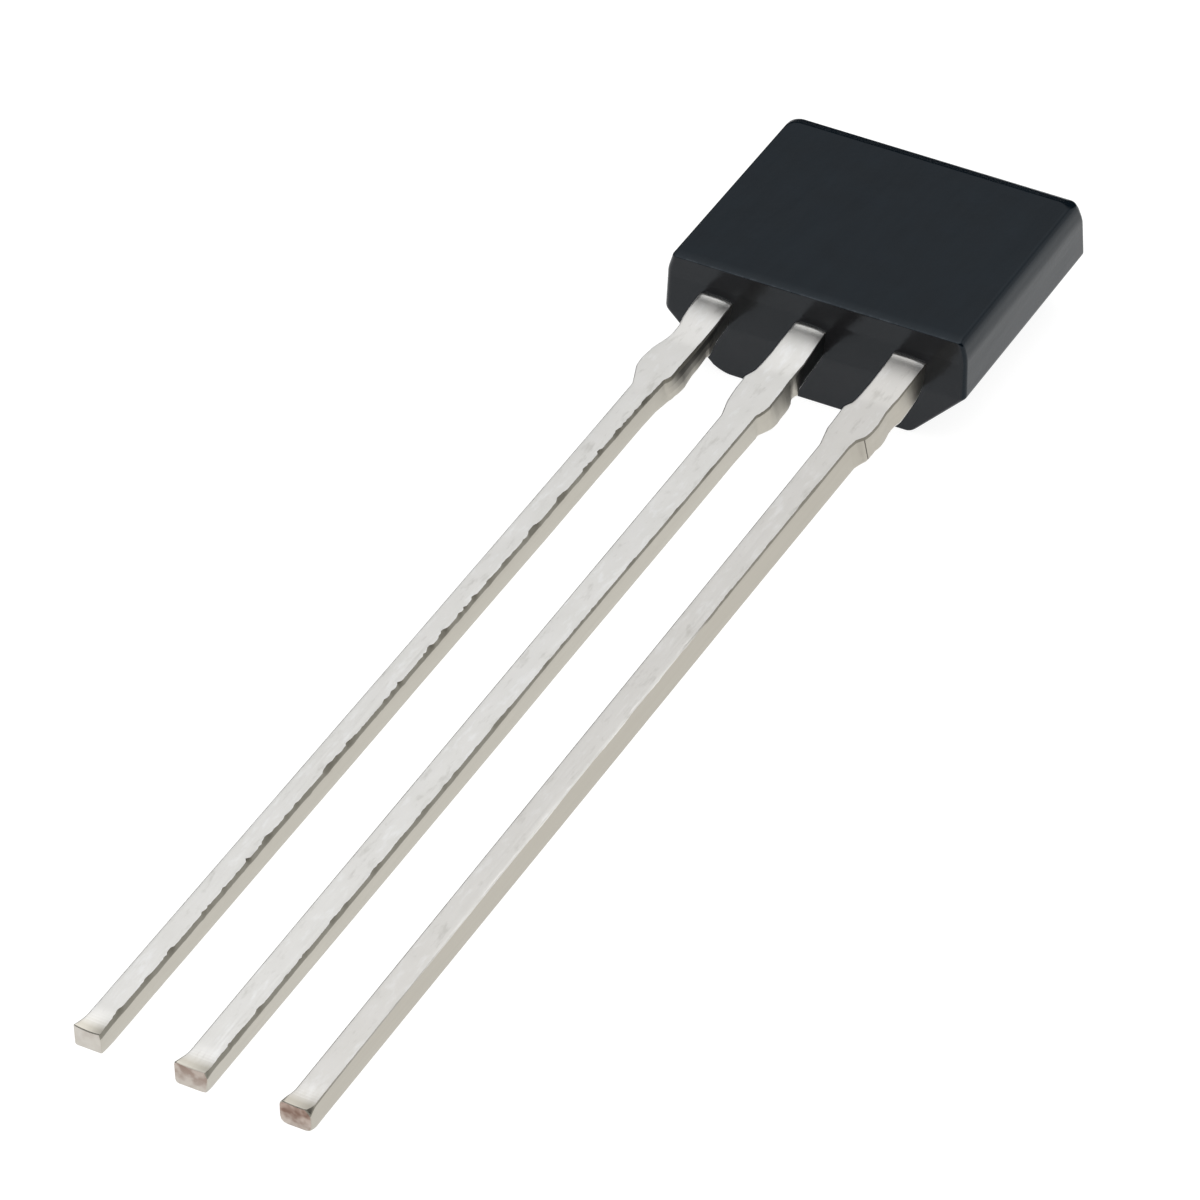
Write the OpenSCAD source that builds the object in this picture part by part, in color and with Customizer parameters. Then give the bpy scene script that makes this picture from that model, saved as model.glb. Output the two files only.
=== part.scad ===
// A Hall effect sensor in a flat three-lead plastic package, lying on its narrow front face.
// The origin is the centre of the front face. +Z points from the front face to the back face,
// and the leads run out along -Y. Inside, the chip sits on the middle lead's paddle, on the
// side that faces the front, and three bond wires join it to the leads.

/* [Moulded body] */
// Width of the body at its parting line, from side to side
body_width = 4.0; // [3.8:0.05:4.6]
// Height of the body at its parting line, from the leads' end to the far end
body_height = 3.25; // [2.95:0.05:3.8]
// Depth of the body behind the parting line, up to the back face
back_depth = 0.79; // [0.7:0.01:1.2]
// Depth of the body in front of the parting line, down to the front face
front_depth = 0.73; // [0.64:0.01:1]
// Width of the narrow front face, between the two long bevels
front_face_width = 2.54; // [2.2:0.02:3]
// Draft of the ends and sides, in degrees, that lets the body leave its mould
draft = 3; // [1:0.5:6]
// Radius along the edges of the back face
back_edge_radius = 0.1; // [0.04:0.01:0.16]
// Radius along the edges of the front face
front_edge_radius = 0.08; // [0.04:0.01:0.14]
// Radius of the four upright corners
corner_radius = 0.12; // [0.04:0.01:0.2]

/* [Leads outside the body] */
// Distance between the centres of neighbouring leads
lead_pitch = 1.27; // [1.25:0.01:1.35]
// Length of each lead, from the body to its tip
lead_length = 14.2; // [4:0.1:16]
// Thickness of the sheet that the leads are stamped from
lead_thickness = 0.33; // [0.24:0.01:0.42]
// Width of each lead along most of its length
lead_width = 0.35; // [0.28:0.01:0.4]
// Width of each lead where it leaves the body
neck_width = 0.43; // [0.4:0.01:0.48]
// Length of the neck, from the body to the shoulder
neck_length = 1.05; // [0.6:0.05:1.4]
// Width of the shoulder, which is what is left of the cut tie bar
shoulder_width = 0.52; // [0.5:0.01:0.6]
// Length of the shoulder at its full width
shoulder_length = 0.44; // [0.3:0.02:0.7]
// Length of the short slope from the neck out to the shoulder
shoulder_rise = 0.05; // [0.02:0.01:0.1]
// Length of the slope from the shoulder in to the lead's own width
shoulder_taper = 0.28; // [0.1:0.02:0.5]
// Size of the bevels that the cutter leaves round each tip
tip_bevel = 0.04; // [0.01:0.01:0.08]

/* [Lead frame inside the body] */
// Length of neck inside the body, from the end face to the paddle or post
root_length = 0.55; // [0.4:0.05:0.7]
// Width of the paddle that carries the chip
paddle_width = 1.5; // [1.4:0.02:1.56]
// Length of the paddle along the body
paddle_length = 1.8; // [1.7:0.05:2.1]
// Width of the post at the inner end of each outer lead
post_width = 0.62; // [0.5:0.02:0.68]
// Length of the post along the body
post_length = 0.7; // [0.5:0.05:1]

/* [Chip] */
// Width of the chip across the body
chip_width = 1.1; // [0.9:0.05:1.2]
// Length of the chip along the body
chip_length = 1.0; // [0.8:0.05:1.1]
// Thickness of the chip
chip_thickness = 0.25; // [0.15:0.01:0.28]
// Distance from the paddle's far edge to the chip
chip_inset = 0.2; // [0.1:0.01:0.25]
// Thickness of the adhesive under the chip
adhesive_thickness = 0.02; // [0.01:0.005:0.04]
// Width of the adhesive that shows round the chip
adhesive_border = 0.05; // [0.02:0.01:0.08]

/* [Bond wires] */
// Diameter of the bond wires
wire_diameter = 0.03; // [0.02:0.005:0.04]
// Diameter of the ball that joins each wire to the chip
ball_diameter = 0.08; // [0.06:0.005:0.1]
// Height of that ball
ball_height = 0.02; // [0.01:0.005:0.03]
// Height of each wire's loop above the chip
loop_height = 0.12; // [0.08:0.01:0.18]
// Length of the flattened stitch at each wire's other end
stitch_length = 0.07; // [0.04:0.01:0.1]
// Width of that stitch
stitch_width = 0.05; // [0.04:0.005:0.07]
// Thickness of that stitch
stitch_thickness = 0.012; // [0.008:0.002:0.02]
// Distance from a chip edge to the centres of the bonds near it
bond_inset = 0.12; // [0.08:0.01:0.2]
// Distance from the ground wire's stitch to the paddle's edge, at the lead's end
ground_stitch_inset = 0.15; // [0.1:0.01:0.2]

/* [Hidden] */

// Straight steps in each rounded edge, sides of a wire, and steps along its loop
arc_steps = 6;
wire_sides = 8;
loop_steps = 10;

body_depth = front_depth + back_depth;
exit_y = -body_height / 2;
tip_y = exit_y - lead_length;
frame_y = exit_y + root_length;

// The chip's front face and the places of its bonds, in the plane of the lead frame
chip_y = frame_y + paddle_length - chip_inset - chip_length / 2;
chip_front = adhesive_thickness + chip_thickness;
bond_x = chip_width / 2 - bond_inset;
bond_y = chip_y - chip_length / 2 + bond_inset;
post_centre = [lead_pitch, frame_y + post_length / 2];
ground_stitch = [0, frame_y + ground_stitch_inset];

function unit(v) = v / norm(v);

// Points along the arc that rounds the corner at b, from the edge to a to the edge to c
function corner_arc(a, b, c, radius) =
    let (
        to_a = unit(a - b),
        to_c = unit(c - b),
        half = acos(to_a * to_c) / 2,
        centre = b + unit(to_a + to_c) * radius / sin(half),
        start = b + to_a * radius / tan(half) - centre,
        end = b + to_c * radius / tan(half) - centre,
        sweep = 180 - 2 * half
    )
    [for (i = [0:arc_steps])
        let (turn = sweep * i / arc_steps)
        centre + (start * sin(sweep - turn) + end * sin(turn)) / sin(sweep)];

// Outline of a convex shape: each corner is [x, y, radius], and a radius of 0 leaves it sharp
function rounded_outline(corners) =
    let (
        count = len(corners),
        at = [for (c = corners) [c.x, c.y]]
    )
    [for (i = [0:count - 1])
        each corners[i].z == 0
            ? [at[i]]
            : corner_arc(at[(i + count - 1) % count], at[i], at[(i + 1) % count], corners[i].z)];

// Both sides of a shape that mirrors about its middle, from one side's points
function mirrored(side) = concat(side, [for (i = [len(side) - 1:-1:0])
    [-side[i].x, each [for (k = [1:len(side[i]) - 1]) side[i][k]]]]);

// Half of the body's section across the leads, and half of its section along them
function across() = [
    [front_face_width / 2, 0, front_edge_radius],
    [body_width / 2, front_depth, 0],
    [body_width / 2 - back_depth * tan(draft), body_depth, back_edge_radius],
];
function along() = [
    [body_height / 2 - front_depth * tan(draft), 0, front_edge_radius],
    [body_height / 2, front_depth, 0],
    [body_height / 2 - back_depth * tan(draft), body_depth, back_edge_radius],
];

module body_outside() {
    intersection() {
        rotate([90, 0, 0])
            linear_extrude(body_height, center = true)
                polygon(rounded_outline(mirrored(across())));
        rotate([90, 0, 90])
            linear_extrude(body_width, center = true)
                polygon(rounded_outline(mirrored(along())));
        linear_extrude(body_depth)
            polygon(rounded_outline(mirrored([
                [body_width / 2, exit_y, corner_radius],
                [body_width / 2, -exit_y, corner_radius],
            ])));
    }
}

// Half of a lead's outline, from the wide end inside the body out to the tip
function lead_side(inner_width, inner_length) = [
    [inner_width / 2, frame_y + inner_length],
    [inner_width / 2, frame_y],
    [neck_width / 2, frame_y],
    [neck_width / 2, exit_y - neck_length],
    [shoulder_width / 2, exit_y - neck_length - shoulder_rise],
    [shoulder_width / 2, exit_y - neck_length - shoulder_rise - shoulder_length],
    [lead_width / 2, exit_y - neck_length - shoulder_rise - shoulder_length - shoulder_taper],
    [lead_width / 2, tip_y + tip_bevel],
    [lead_width / 2 - tip_bevel, tip_y],
];

// Half of a lead's side view, as distances from the middle of the sheet, with the tip's bevels
function lead_edge(inner_length) = [
    [lead_thickness / 2, frame_y + inner_length],
    [lead_thickness / 2, tip_y + tip_bevel],
    [lead_thickness / 2 - tip_bevel, tip_y],
];

// A stamped lead in one piece with its wide inner end, its front side on the parting line
module lead(inner_width, inner_length) {
    translate([0, 0, front_depth + lead_thickness / 2])
        intersection() {
            linear_extrude(lead_thickness, center = true)
                polygon(mirrored(lead_side(inner_width, inner_length)));
            rotate([0, -90, 0])
                linear_extrude(inner_width, center = true)
                    polygon(mirrored(lead_edge(inner_length)));
        }
}

module supply_lead() {
    color("gainsboro")
        translate([lead_pitch, 0, 0])
            lead(post_width, post_length);
}

module ground_lead() {
    color("gainsboro")
        lead(paddle_width, paddle_length);
}

module output_lead() {
    color("gainsboro")
        translate([-lead_pitch, 0, 0])
            lead(post_width, post_length);
}

// A slab in front of the lead frame, centred on the chip
module chip_slab(width, length, near, far) {
    translate([-width / 2, chip_y - length / 2, front_depth - far])
        cube([width, length, far - near]);
}

module chip_adhesive() {
    color("silver")
        chip_slab(chip_width + 2 * adhesive_border, chip_length + 2 * adhesive_border,
            0, adhesive_thickness);
}

module hall_chip() {
    color("slategray")
        chip_slab(chip_width, chip_length, adhesive_thickness, chip_front);
}

// A point on a wire's loop, as [distance along, distance in front of the lead frame]
function loop_point(t, run) =
    let (
        rise = [0, chip_front + ball_height],
        crest = [0, chip_front + loop_height * 4 / 3],
        fall = [run * 0.6, chip_front + loop_height * 4 / 3],
        land = [run, wire_diameter / 2]
    )
    rise * pow(1 - t, 3) + crest * 3 * t * pow(1 - t, 2) + fall * 3 * t * t * (1 - t)
        + land * pow(t, 3);

// Rings along a wire: [place on the loop, direction there, half width, half height]
function wire_rings(run) =
    let (
        up = [0, 1],
        level = [1, 0],
        half_wire = wire_diameter / 2,
        half_ball = ball_diameter / 2,
        half_stitch = stitch_thickness / 2
    )
    concat(
        [[[0, chip_front], up, half_ball, half_ball]],
        [[[0, chip_front + ball_height * 0.7], up, half_ball, half_ball]],
        [for (i = [0:loop_steps])
            let (
                t = i / loop_steps,
                here = loop_point(t, run),
                next = loop_point(t + 0.01, run)
            )
            [here, i == 0 ? up : unit(next - here), half_wire, half_wire]],
        [[[run + stitch_length / 3, half_stitch], level, stitch_width / 2, half_stitch]],
        [[[run + stitch_length, half_stitch], level, stitch_width / 2, half_stitch]]
    );

// A bond wire from a ball on the chip to a stitch on the lead frame, given as [x, y] places
module wire(ball, stitch) {
    heading = unit(stitch - ball);
    rings = wire_rings(norm(stitch - ball) - stitch_length / 2);
    last = len(rings) - 1;
    corner = 1 / cos(180 / wire_sides);
    points = [for (ring = rings, k = [0:wire_sides - 1])
        let (
            angle = 360 * (k + 0.5) / wire_sides,
            side = ring[2] * corner * cos(angle),
            lift = ring[3] * corner * sin(angle),
            distance = ring[0].x - ring[1].y * lift,
            height = ring[0].y + ring[1].x * lift,
            place = ball + heading * distance + [-heading.y, heading.x] * side
        )
        [place.x, place.y, front_depth - height]];
    sides = [for (r = [0:last - 1], k = [0:wire_sides - 1], half = [0, 1])
        let (
            here = r * wire_sides + k,
            beside = r * wire_sides + (k + 1) % wire_sides
        )
        half == 0
            ? [here, beside, here + wire_sides]
            : [beside, beside + wire_sides, here + wire_sides]];
    ball_end = [for (k = [wire_sides - 1:-1:0]) k];
    stitch_end = [for (k = [0:wire_sides - 1]) last * wire_sides + k];
    polyhedron(points, concat(sides, [ball_end], [stitch_end]));
}

module supply_wire() {
    color("gold")
        wire([bond_x, bond_y], post_centre);
}

module ground_wire() {
    color("gold")
        wire([0, bond_y], ground_stitch);
}

module output_wire() {
    color("gold")
        wire([-bond_x, bond_y], [-post_centre.x, post_centre.y]);
}

// The plastic is moulded round everything else, so the rest leaves its own shape in it
module moulded_body() {
    color([0.17, 0.18, 0.19])
        difference() {
            body_outside();
            supply_lead();
            ground_lead();
            output_lead();
            chip_adhesive();
            hall_chip();
            supply_wire();
            ground_wire();
            output_wire();
        }
}

moulded_body();
supply_lead();
ground_lead();
output_lead();
chip_adhesive();
hall_chip();
supply_wire();
ground_wire();
output_wire();
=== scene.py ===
import math

import bmesh
import bpy
import numpy as np
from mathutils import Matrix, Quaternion, Vector


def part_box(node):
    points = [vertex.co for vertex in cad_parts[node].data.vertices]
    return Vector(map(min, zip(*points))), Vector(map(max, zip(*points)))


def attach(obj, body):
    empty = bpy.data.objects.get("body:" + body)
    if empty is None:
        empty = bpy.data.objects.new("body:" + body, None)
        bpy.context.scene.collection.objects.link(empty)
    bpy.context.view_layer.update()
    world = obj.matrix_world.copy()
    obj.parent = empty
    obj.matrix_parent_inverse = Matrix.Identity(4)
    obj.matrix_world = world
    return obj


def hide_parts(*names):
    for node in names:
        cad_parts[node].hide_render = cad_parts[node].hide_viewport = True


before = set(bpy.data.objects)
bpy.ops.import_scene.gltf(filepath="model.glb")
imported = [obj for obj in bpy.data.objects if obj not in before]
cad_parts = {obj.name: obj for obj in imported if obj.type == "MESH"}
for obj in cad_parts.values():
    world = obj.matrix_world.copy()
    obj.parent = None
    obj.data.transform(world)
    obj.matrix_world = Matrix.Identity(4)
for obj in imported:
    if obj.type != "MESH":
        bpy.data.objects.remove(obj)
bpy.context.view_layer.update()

scene = bpy.context.scene
MM = 0.001


# Camera: a long lens on a stand, to the right of the sensor's leads and above them, so that the
# leads come down to the lower left of the frame.
azimuth, elevation, roll = math.radians(29.57), math.radians(39.56), math.radians(-1.61)
aim = Vector((0.18, -7.18, 1.12)) * MM
distance = 84.4
towards = Vector((
    math.sin(azimuth) * math.cos(elevation),
    -math.cos(azimuth) * math.cos(elevation),
    math.sin(elevation),
))
lens = bpy.data.cameras.new("camera")
lens.sensor_width = 36
lens.lens = 225
lens.clip_start = 5 * MM
camera = bpy.data.objects.new("camera", lens)
camera.location = aim + towards * distance * MM
camera.rotation_mode = "QUATERNION"
camera.rotation_quaternion = towards.to_track_quat("Z", "Y") @ Quaternion((0, 0, 1), roll)
scene.collection.objects.link(camera)
scene.camera = camera


# Moulded body: black epoxy with a quartz filler, transfer moulded round the whole lead frame in
# one shot. The two halves of the mould leave drafted sides that meet at the parting line, soft
# edges and a fine matt grain.
body_low, body_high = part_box("moulded_body")
neck_low, neck_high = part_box("ground_lead")
parting_z = neck_low.z
front_face_width = 2.54 * MM
draft = math.tan(math.radians(3))


def linear(colour):
    """An sRGB hex colour as linear red, green, blue and alpha."""
    parts = [int(colour[i:i + 2], 16) / 255 for i in (1, 3, 5)]
    return [c / 12.92 if c <= 0.04045 else ((c + 0.055) / 1.055) ** 2.4 for c in parts] + [1]


def add_node(tree, kind, inputs=None, **settings):
    """A new node with its settings, and its inputs set to values or linked from other sockets."""
    node = tree.nodes.new(kind)
    for name, value in settings.items():
        setattr(node, name, value)
    for name, value in (inputs or {}).items():
        if isinstance(value, bpy.types.NodeSocket):
            tree.links.new(value, node.inputs[name])
        else:
            node.inputs[name].default_value = value
    return node


def new_material(name):
    """An empty node material, with its tree and its output node."""
    material = bpy.data.materials.new(name)
    material.use_nodes = True
    material.node_tree.nodes.clear()
    return material, material.node_tree, add_node(material.node_tree, "ShaderNodeOutputMaterial")


def new_piece(name, mesh_builder):
    """An object at the origin, made from what was built in a bmesh."""
    mesh = bpy.data.meshes.new(name)
    mesh_builder.to_mesh(mesh)
    mesh_builder.free()
    piece = bpy.data.objects.new(name, mesh)
    scene.collection.objects.link(piece)
    return piece


def shade_smooth(mesh, sharpest):
    """Smooth shading, apart from edges that turn by more than an angle in degrees."""
    mesh.polygons.foreach_set("use_smooth", [True] * len(mesh.polygons))
    mesh.set_sharp_from_angle(angle=math.radians(sharpest))


def finish_piece(piece, slot, *nodes):
    """Hangs the piece on the root body and hides the CAD nodes that it stands for. The slot, which
    names its finish, is not used.
    """
    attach(piece, "root")
    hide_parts(*nodes)


def filled_epoxy():
    """Black moulding compound. Its mould was spark eroded, so it has a fine matt grain, with
    faint blotches and swirls where the filler flowed."""
    material, tree, output = new_material("black_filled_epoxy_as_moulded")
    place = add_node(tree, "ShaderNodeTexCoord").outputs["Object"]
    # The blotches are 0.4 mm across, the swirls 0.3 mm wide and 1.2 mm long, the grain 0.05 mm.
    blotches = add_node(tree, "ShaderNodeTexNoise", {
        "Vector": place,
        "Scale": 2.4 / MM,
        "Detail": 4,
    })
    flow = add_node(tree, "ShaderNodeMapping", {"Vector": place, "Scale": (1, 0.25, 1)})
    swirls = add_node(tree, "ShaderNodeTexNoise", {
        "Vector": flow.outputs["Vector"],
        "Scale": 3.2 / MM,
        "Detail": 3,
    })
    grain = add_node(tree, "ShaderNodeTexNoise", {"Vector": place, "Scale": 22 / MM, "Detail": 4})
    black = add_node(tree, "ShaderNodeMix", {
        "Factor": blotches.outputs["Fac"],
        "A": linear("#030A11"),
        "B": linear("#0A161F"),
    }, data_type="RGBA")
    # The way a surface faces sets its colour: the end wall over the leads is painted lighter, as
    # painted light, and the rounded edge above that wall has a painted highlight in flecks 0.15 mm
    # across.
    facing = add_node(tree, "ShaderNodeSeparateXYZ", {
        "Vector": add_node(tree, "ShaderNodeNewGeometry").outputs["Normal"],
    }).outputs
    end_wall = add_node(tree, "ShaderNodeMapRange", {
        "Value": facing["Y"],
        "From Min": -0.8,
        "From Max": -0.97,
    }, interpolation_type="SMOOTHSTEP").outputs["Result"]
    over_leads = add_node(tree, "ShaderNodeMapRange", {
        "Value": facing["Y"],
        "From Min": -0.1,
        "From Max": -0.3,
    }).outputs["Result"]
    rounded = add_node(tree, "ShaderNodeMapRange", {
        "Value": facing["Z"],
        "From Min": 0.2,
        "From Max": 0.6,
    }, interpolation_type="SMOOTHSTEP").outputs["Result"]
    not_level = add_node(tree, "ShaderNodeMapRange", {
        "Value": facing["Z"],
        "From Min": 0.998,
        "From Max": 0.97,
    }, interpolation_type="SMOOTHSTEP").outputs["Result"]
    rim = add_node(tree, "ShaderNodeMath", {
        0: rounded,
        1: not_level,
    }, operation="MULTIPLY").outputs[0]
    edge = add_node(tree, "ShaderNodeMath", {
        0: rim,
        1: over_leads,
    }, operation="MULTIPLY").outputs[0]
    highlight_fleck_noise = add_node(tree, "ShaderNodeTexNoise", {
        "Vector": place,
        "Scale": 7 / MM,
        "Detail": 3,
    }).outputs["Fac"]
    highlight_flecks = add_node(tree, "ShaderNodeMapRange", {
        "Value": highlight_fleck_noise,
        "From Min": 0.48,
        "From Max": 0.7,
        "To Max": 0.55,
    }).outputs["Result"]
    # Painted highlight: lighter flecks on the rounded edge over the leads.
    worn = add_node(tree, "ShaderNodeMath", {
        0: edge,
        1: highlight_flecks,
    }, operation="MULTIPLY").outputs[0]
    # The end wall's lighter colour is painted light.
    end_wall_painted_light = add_node(tree, "ShaderNodeMix", {
        "Factor": end_wall,
        "A": black.outputs["Result"],
        "B": linear("#29282A"),
    }, data_type="RGBA")
    # Mixes in the painted highlight flecks.
    colour = add_node(tree, "ShaderNodeMix", {
        "Factor": worn,
        "A": end_wall_painted_light.outputs["Result"],
        "B": linear("#4E5256"),
    }, data_type="RGBA")
    roughness = add_node(tree, "ShaderNodeMapRange", {
        "Value": grain.outputs["Fac"],
        "To Min": 0.14,
        "To Max": 0.2,
    })
    waves = add_node(tree, "ShaderNodeBump", {
        "Height": swirls.outputs["Fac"],
        "Strength": 0.5,
        "Distance": 0.012 * MM,
    })
    bump = add_node(tree, "ShaderNodeBump", {
        "Height": grain.outputs["Fac"],
        "Strength": 0.2,
        "Distance": 0.003 * MM,
        "Normal": waves.outputs["Normal"],
    })
    shader = add_node(tree, "ShaderNodeBsdfPrincipled", {
        "Base Color": colour.outputs["Result"],
        "Roughness": roughness.outputs["Result"],
        "IOR": 1.35,
        "Specular Tint": linear("#E6F4FF"),
        "Normal": bump.outputs["Normal"],
    })
    tree.links.new(shader.outputs["BSDF"], output.inputs["Surface"])
    return material


def soften(before, corner, after, reach, reach_after):
    """A curve that rounds a corner of a profile, from a reach before it to a reach after it."""
    start = corner + (before - corner).normalized() * reach
    end = corner + (after - corner).normalized() * reach_after
    return [start.lerp(corner, k / 8).lerp(corner.lerp(end, k / 8), k / 8) for k in range(9)]


def wall_profile(front_inset, corners, back_inset, reaches):
    """A wall from the front face to the back face: its heights and its insets from the parting
    line. Between these faces it has corners, given by depth below the back face and inset, and
    each corner is rounded by its own reaches. Only the front inset is in metres."""
    points = [
        Vector((front_inset + MM, body_low.z)),
        Vector((front_inset, body_low.z)),
        Vector((0, parting_z)),
        *(Vector((inset * MM, body_high.z - depth * MM)) for depth, inset in corners),
        Vector((back_inset * MM, body_high.z)),
        Vector((back_inset * MM + MM, body_high.z)),
    ]
    curve = []
    for before, corner, after, (reach, beyond) in zip(points, points[1:], points[2:], reaches):
        curve += soften(before, corner, after, reach * MM, beyond * MM)
    return [point.y for point in curve], [point.x for point in curve]


def corner_curve(side_x, side_y, z, end_inset, flank_inset, radius):
    """An upright corner at one height, from the end wall round to the flank."""
    points = []
    for k in range(7):
        turn = math.radians(15 * k)
        x = side_x * (body_high.x - flank_inset - radius * (1 - math.sin(turn)))
        y = side_y * (body_high.y - end_inset - radius * (1 - math.cos(turn)))
        points.append(solid.verts.new((x, y, z)))
    return points


def keep_faces_flat(mesh, sharpest):
    """Normals weighted by area, so that only the rounded edges between faces are shaded. Faces
    that meet at more than an angle in degrees keep a crisp edge."""
    normals = [polygon.normal.copy() for polygon in mesh.polygons]
    weighted = [polygon.normal * polygon.area for polygon in mesh.polygons]
    around = [[] for vert in mesh.vertices]
    for polygon in mesh.polygons:
        for index in polygon.vertices:
            around[index].append(polygon.index)
    limit = math.cos(math.radians(sharpest))
    shading = [None] * len(mesh.loops)
    for polygon in mesh.polygons:
        normal = normals[polygon.index]
        for loop, vertex in zip(polygon.loop_indices, polygon.vertices):
            near = [weighted[i] for i in around[vertex] if normals[i].dot(normal) > limit]
            shading[loop] = sum(near, Vector()).normalized()
    mesh.normals_split_custom_set(shading)


# The end wall over the leads stands nearly straight, the far wall ends in a small chamfer, and the
# flanks lean in from the parting line to the narrow front face.
end_inset = (parting_z - body_low.z) * draft
flank_inset = body_high.x - front_face_width / 2
sharp = (0.03, 0.03)
far_reaches = [(0.06, 0.06), sharp, (0.008, 0.008), (0.012, 0.012)]
leads_end = wall_profile(
    front_inset=0.012 * MM,
    corners=[(0.46, 0.04), (0.012, 0.043)],
    back_inset=0.13,
    reaches=[sharp, sharp, (0.1, 0.1), (0.01, 0.01), (0.06, 0.06)],
)
far_left = wall_profile(end_inset, corners=[(0.034, 0.038)], back_inset=0.17, reaches=far_reaches)
far_right = wall_profile(end_inset, corners=[(0.042, 0.048)], back_inset=0.19, reaches=far_reaches)
left_flank = wall_profile(
    front_inset=flank_inset - 0.05 * MM,
    corners=[(0.24, 0.028)],
    back_inset=0.106,
    reaches=[(0.27, 0.27), (0.04, 0.04), (0.06, 0.06), (0.02, 0.02)],
)
right_flank = wall_profile(
    front_inset=flank_inset - 0.025 * MM,
    corners=[(0.24, 0.01)],
    back_inset=0.06,
    reaches=[(0.08, 0.08), sharp, (0.06, 0.06), (0.13, 0.07)],
)

# The upright corners: the side of the body in X and Y, the two walls that meet there, and the
# corner's radius in millimetres at each of the radius heights.
corners = [
    (-1, -1, leads_end, left_flank, (0.06, 0.1, 0.08, 0.07, 0.06)),
    (1, -1, leads_end, right_flank, (0.05, 0.07, 0.06, 0.06, 0.05)),
    (1, 1, far_right, right_flank, (0.05, 0.06, 0.05, 0.1, 0.15)),
    (-1, 1, far_left, left_flank, (0.05, 0.08, 0.1, 0.14, 0.14)),
]
radius_heights = [
    body_low.z,
    parting_z,
    body_high.z - 0.3 * MM,
    body_high.z - 0.1 * MM,
    body_high.z,
]

# Levels of points up the body, closest together at the front face's edge, at the parting line and
# towards the back face's edge.
heights = [body_low.z + 0.09 * MM * (k / 8) ** 2 for k in range(9)]
heights += [parting_z + shift * MM for shift in (-0.045, -0.025, -0.012, 0, 0.012, 0.025, 0.045)]
heights += [body_high.z - depth * MM for depth in (0.33, 0.29)]
heights += [body_high.z - 0.26 * MM * (1 - k / 26) ** 2 for k in range(27)]
solid = bmesh.new()
levels = []
for z in heights:
    outline_points = []
    for side_x, side_y, end, flank, radii in corners:
        radius = float(np.interp(z, radius_heights, radii)) * MM
        insets = [float(np.interp(z, *wall)) for wall in (end, flank)]
        curve = corner_curve(side_x, side_y, z, *insets, radius)
        outline_points += curve if side_x * side_y < 0 else curve[::-1]
    levels.append(outline_points)
for below, above in zip(levels, levels[1:]):
    for i in range(len(below)):
        solid.faces.new([below[i - 1], below[i], above[i], above[i - 1]])
solid.faces.new(levels[0][::-1])
solid.faces.new(levels[-1])
body = new_piece("moulded_compound", solid)
shade_smooth(body.data, 180)
body.data.materials.append(filled_epoxy())
keep_faces_flat(body.data, 60)
finish_piece(body, "moulding_compound", "moulded_body")


# Leads: three strips of copper alloy, stamped side by side from one sheet and plated with matt
# tin. The punch tears one long edge of each strip, the cut tie bars leave the shoulders, and
# each tip is sheared to length after plating, so that some copper shows there.

# Their sizes are in millimetres until make_lead places their points.
lead_length = 14.2
neck_width = 0.43
root_depth = 0.55
corner_radius = 0.03
sheet_bottom = neck_low.z / MM
sheet_top = neck_high.z / MM
exit_y = body_low.y / MM


def arc(centre, radius, first, last, steps):
    """Points along an arc in a lead's section, with angles in degrees."""
    angles = [math.radians(first + (last - first) * i / steps) for i in range(steps + 1)]
    return [(centre[0] + radius * math.cos(a), centre[1] + radius * math.sin(a)) for a in angles]


def ring_distances(inner_length, cuts):
    """Distances from the body at which a lead has a ring, closer where its shape changes, with
    rings just before and after each line that a cut left across its side. A zone is the distance
    at which it ends and the step between its rings."""
    yield from (at + shift for at in cuts for shift in (-0.02, -0.011, 0.011, 0.02))
    at = -inner_length
    zones = [(-0.12, 0.08), (0.18, 0.012), (0.95, 0.04), (1.95, 0.02)]
    zones += [(lead_length - 0.15, 0.04), (lead_length, 0.01)]
    for limit, step in zones:
        while at < limit - step / 2:
            yield at
            at += step
    yield lead_length


def outline(corners, softness, at):
    """Half a lead's width at a distance from the body, with its outline's corners softened."""
    distances, widths = zip(*corners)
    nearby = [at + softness * k for k in (-1, -0.5, 0, 0.5, 1)]
    return float(np.mean(np.interp(nearby, distances, widths)))


def along(rows, at, column):
    """A value at a distance from the body, from rows that start with their distances."""
    return float(np.interp(at, [row[0] for row in rows], [row[column] for row in rows]))


def fade(distance, reach):
    """1 at no distance, falling smoothly to 0 at its reach."""
    return max(0.0, 1 - abs(distance) / reach) ** 2


def pinch(distance, radius):
    """How far a rounded corner draws the edge in, at a distance from the corner's end."""
    beyond = max(0.0, radius - abs(distance))
    return radius - math.sqrt(radius ** 2 - beyond ** 2)


# Where a section's right side, its torn edge and its top start among its points.
first_side, first_torn, first_top = 8, 11, 13


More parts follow.
